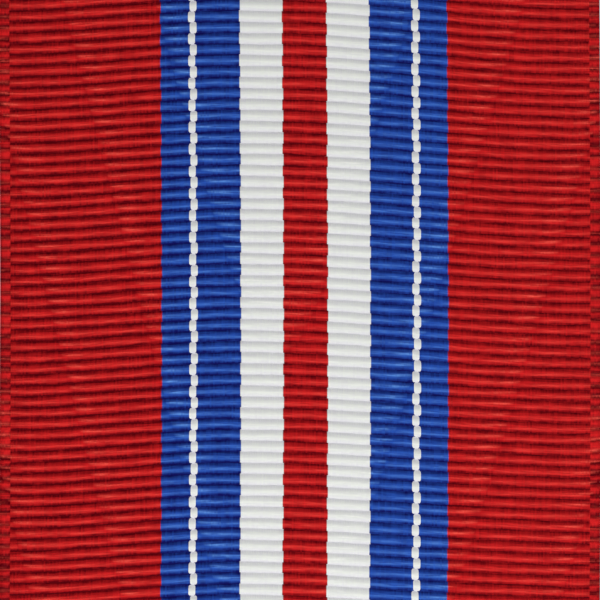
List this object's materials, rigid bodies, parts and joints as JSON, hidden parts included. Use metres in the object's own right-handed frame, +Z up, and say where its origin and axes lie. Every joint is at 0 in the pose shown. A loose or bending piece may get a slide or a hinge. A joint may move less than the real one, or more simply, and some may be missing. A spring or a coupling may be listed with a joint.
{
  "type": "military service medal",
  "caption": "Full-size service medal: a struck disc on a swivelling claw and suspender, hung by a striped ribbed ribbon from a brooch bar with a hinged pin and roll-over catch.",
  "frame": {"origin": "the middle of the brooch bar's flat back face, which lies against the garment", "axes": "+Z up, with the medal hanging down along -Z; the medal's front faces -Y and +Y points out of the brooch bar's back, into the garment; +X is to the right as the front is looked at"},
  "size_m": [0.0404, 0.0089, 0.0963],
  "materials": {
    "brooch_metal": "polished nickel silver",
    "pin_steel": "drawn and polished steel",
    "ribbon_cloth": "ribbed watered ribbon in red, blue and white stripes",
    "sewing_thread": "twisted sewing thread",
    "medal_metal": "struck cupro-nickel"
  },
  "bodies": {
    "brooch": {"brooch_plate": "brooch_metal", "ribbon_rod": "pin_steel", "hinge_bracket": "brooch_metal", "hinge_rivet": "pin_steel", "catch_base": "brooch_metal", "hinge_base_rivet_upper": "brooch_metal", "hinge_base_rivet_lower": "brooch_metal", "catch_base_rivet_upper": "brooch_metal", "catch_base_rivet_lower": "brooch_metal"},
    "pin": {"brooch_pin": "pin_steel"},
    "sleeve": {"catch_sleeve": "pin_steel"},
    "ribbon_loop": {"ribbon": "ribbon_cloth", "lap_stitches_upper": "sewing_thread", "lap_stitches_lower": "sewing_thread"},
    "suspension": {"suspender": "medal_metal"},
    "medal": {"swivel_stem": "medal_metal", "swivel_washer": "medal_metal", "claw": "medal_metal", "claw_rivet": "medal_metal", "medal_disc": "medal_metal"}
  },
  "joints": [
    {"name": "pin_hinge", "type": "hinge", "parent": "brooch", "child": "pin", "pos_m": [-0.0148, 0.0034, 0], "axis": [0, 0, 1], "range_deg": [0, 100]},
    {"name": "catch_turn", "type": "hinge", "parent": "brooch", "child": "sleeve", "pos_m": [0.0148, 0.0034, 0], "axis": [1, 0, 0], "range_deg": [0, 100]},
    {"name": "ribbon_swing", "type": "hinge", "parent": "brooch", "child": "ribbon_loop", "pos_m": [0, -0.0006, -0.00615], "axis": [1, 0, 0], "range_deg": [-80, 10]},
    {"name": "suspender_swing", "type": "hinge", "parent": "ribbon_loop", "child": "suspension", "pos_m": [0, -0.0006, -0.04815], "axis": [1, 0, 0], "range_deg": [-60, 60]},
    {"name": "medal_swivel", "type": "hinge", "parent": "suspension", "child": "medal", "pos_m": [0, -0.0006, -0.0528], "axis": [0, 0, 1], "continuous": true}
  ]
}
